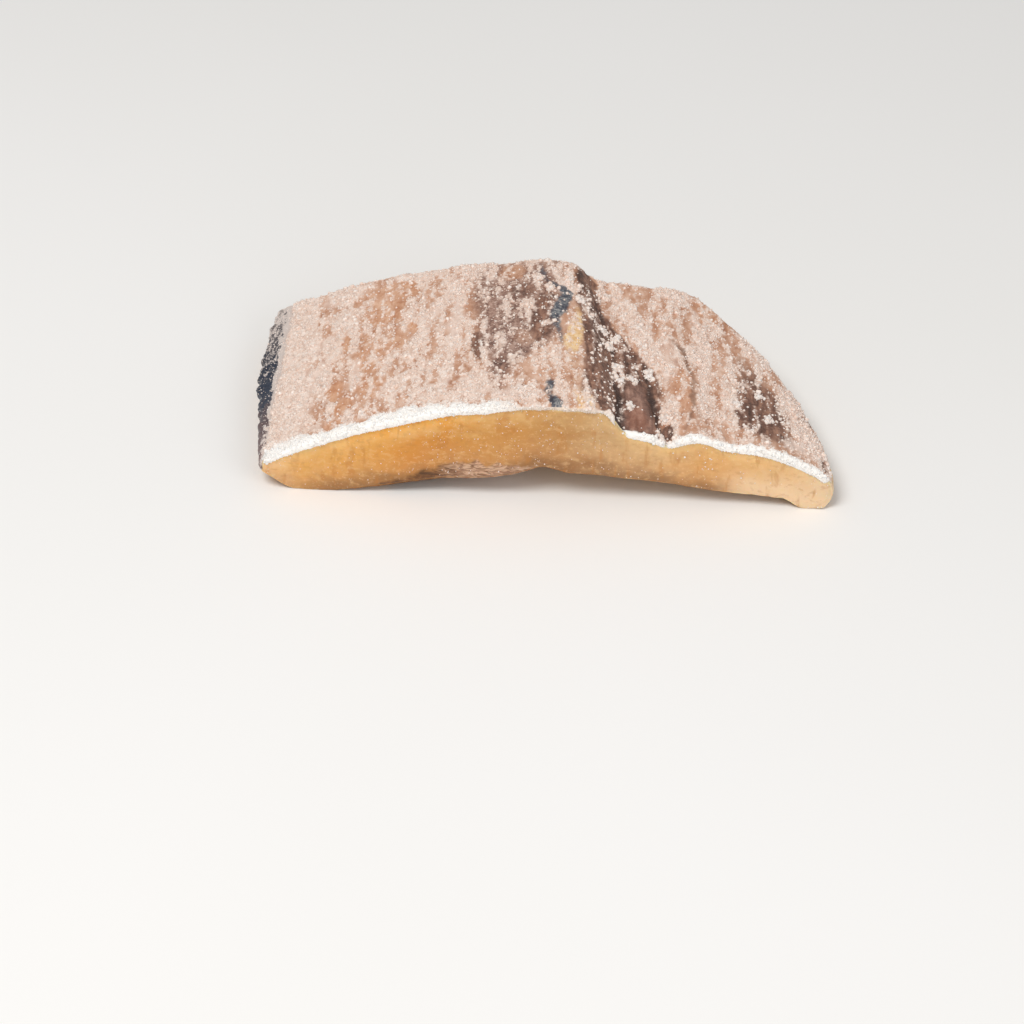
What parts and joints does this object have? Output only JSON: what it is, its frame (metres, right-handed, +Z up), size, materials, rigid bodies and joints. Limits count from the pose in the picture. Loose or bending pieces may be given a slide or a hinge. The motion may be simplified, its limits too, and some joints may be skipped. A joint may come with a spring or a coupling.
{
  "type": "piece of salted dried cod",
  "caption": "Arched cut of salted dried cod lying skin side up, with a salt-crusted skin, a thick waxy loin in the middle and thin belly edges.",
  "frame": {"origin": "centre of the piece's bounding box in X and Y, on the surface that it lies on", "axes": "+X across the fish towards the blunt belly end, +Y along the fish from the front cut to the back cut, +Z up, out of the skin"},
  "size_m": [0.205, 0.096, 0.0403],
  "materials": {
    "salted_skin": "matte",
    "cut_flesh": "satin",
    "dark_lining": "satin",
    "salt": "satin"
  },
  "bodies": {
    "root": {"salt_cod_piece": "salted_skin"}
  },
  "joints": []
}
